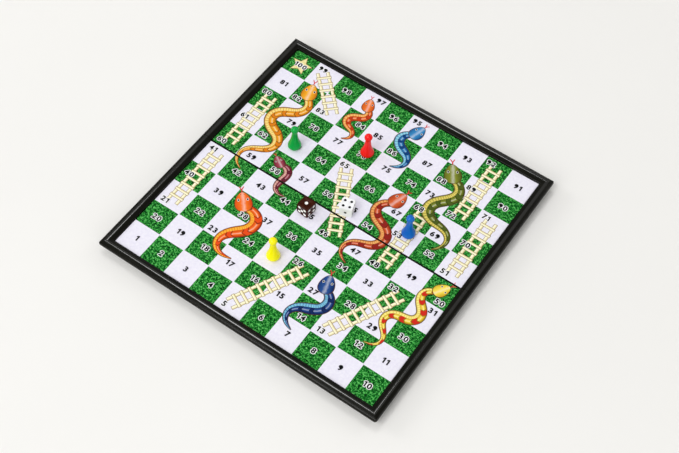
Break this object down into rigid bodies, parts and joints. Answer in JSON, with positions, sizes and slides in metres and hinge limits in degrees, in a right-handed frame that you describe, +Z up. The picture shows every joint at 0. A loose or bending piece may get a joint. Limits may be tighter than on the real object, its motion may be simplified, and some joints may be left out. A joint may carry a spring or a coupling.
{
  "type": "snakes and ladders board",
  "caption": "Folding snakes and ladders board: hinged case halves that carry a numbered printed playing surface, with ball-headed pawns and cubic dice.",
  "frame": {"origin": "on the table under the middle of the open board", "axes": "+X along the first row of squares, +Y up the rows across the fold, +Z up out of the playing surface"},
  "size_m": [0.2428, 0.2448, 0.0325],
  "materials": {
    "case_plastic": "moulded, satin",
    "plate_steel": "plain sheet",
    "printed_sheet": "laminated print",
    "pin_steel": "drawn wire",
    "green_plastic": "moulded, glossy",
    "red_plastic": "moulded, glossy",
    "yellow_plastic": "moulded, glossy",
    "blue_plastic": "moulded, glossy",
    "magnet_ferrite": "ground ferrite",
    "dark_die_plastic": "polished",
    "white_die_plastic": "polished"
  },
  "bodies": {
    "near_half": {"near_shell": "case_plastic", "near_steel_plate": "plate_steel", "near_printed_sheet": "printed_sheet", "left_hinge_pin": "pin_steel", "right_hinge_pin": "pin_steel"},
    "far_half": {"far_shell": "case_plastic", "far_steel_plate": "plate_steel", "far_printed_sheet": "printed_sheet"},
    "green_pawn_body": {"green_pawn": "green_plastic", "green_pawn_magnet": "magnet_ferrite"},
    "red_pawn_body": {"red_pawn": "red_plastic", "red_pawn_magnet": "magnet_ferrite"},
    "yellow_pawn_body": {"yellow_pawn": "yellow_plastic", "yellow_pawn_magnet": "magnet_ferrite"},
    "blue_pawn_body": {"blue_pawn": "blue_plastic", "blue_pawn_magnet": "magnet_ferrite"},
    "dark_die_body": {"dark_die": "dark_die_plastic"},
    "white_die_body": {"white_die": "white_die_plastic"}
  },
  "joints": [
    {"name": "fold", "type": "hinge", "parent": "near_half", "child": "far_half", "pos_m": [0, 0, 0.0016], "axis": [-1, 0, 0], "range_deg": [0, 180]},
    {"name": "green_pawn_lift", "type": "slide", "parent": "far_half", "child": "green_pawn_body", "axis": [0, 0, 1], "range_m": [0, 0.05]},
    {"name": "red_pawn_lift", "type": "slide", "parent": "far_half", "child": "red_pawn_body", "axis": [0, 0, 1], "range_m": [0, 0.05]},
    {"name": "blue_pawn_lift", "type": "slide", "parent": "far_half", "child": "blue_pawn_body", "axis": [0, 0, 1], "range_m": [0, 0.05]},
    {"name": "yellow_pawn_lift", "type": "slide", "parent": "near_half", "child": "yellow_pawn_body", "axis": [0, 0, 1], "range_m": [0, 0.05]},
    {"name": "dark_die_lift", "type": "slide", "parent": "near_half", "child": "dark_die_body", "axis": [0, 0, 1], "range_m": [0, 0.05]},
    {"name": "white_die_lift", "type": "slide", "parent": "far_half", "child": "white_die_body", "axis": [0, 0, 1], "range_m": [0, 0.05]}
  ]
}
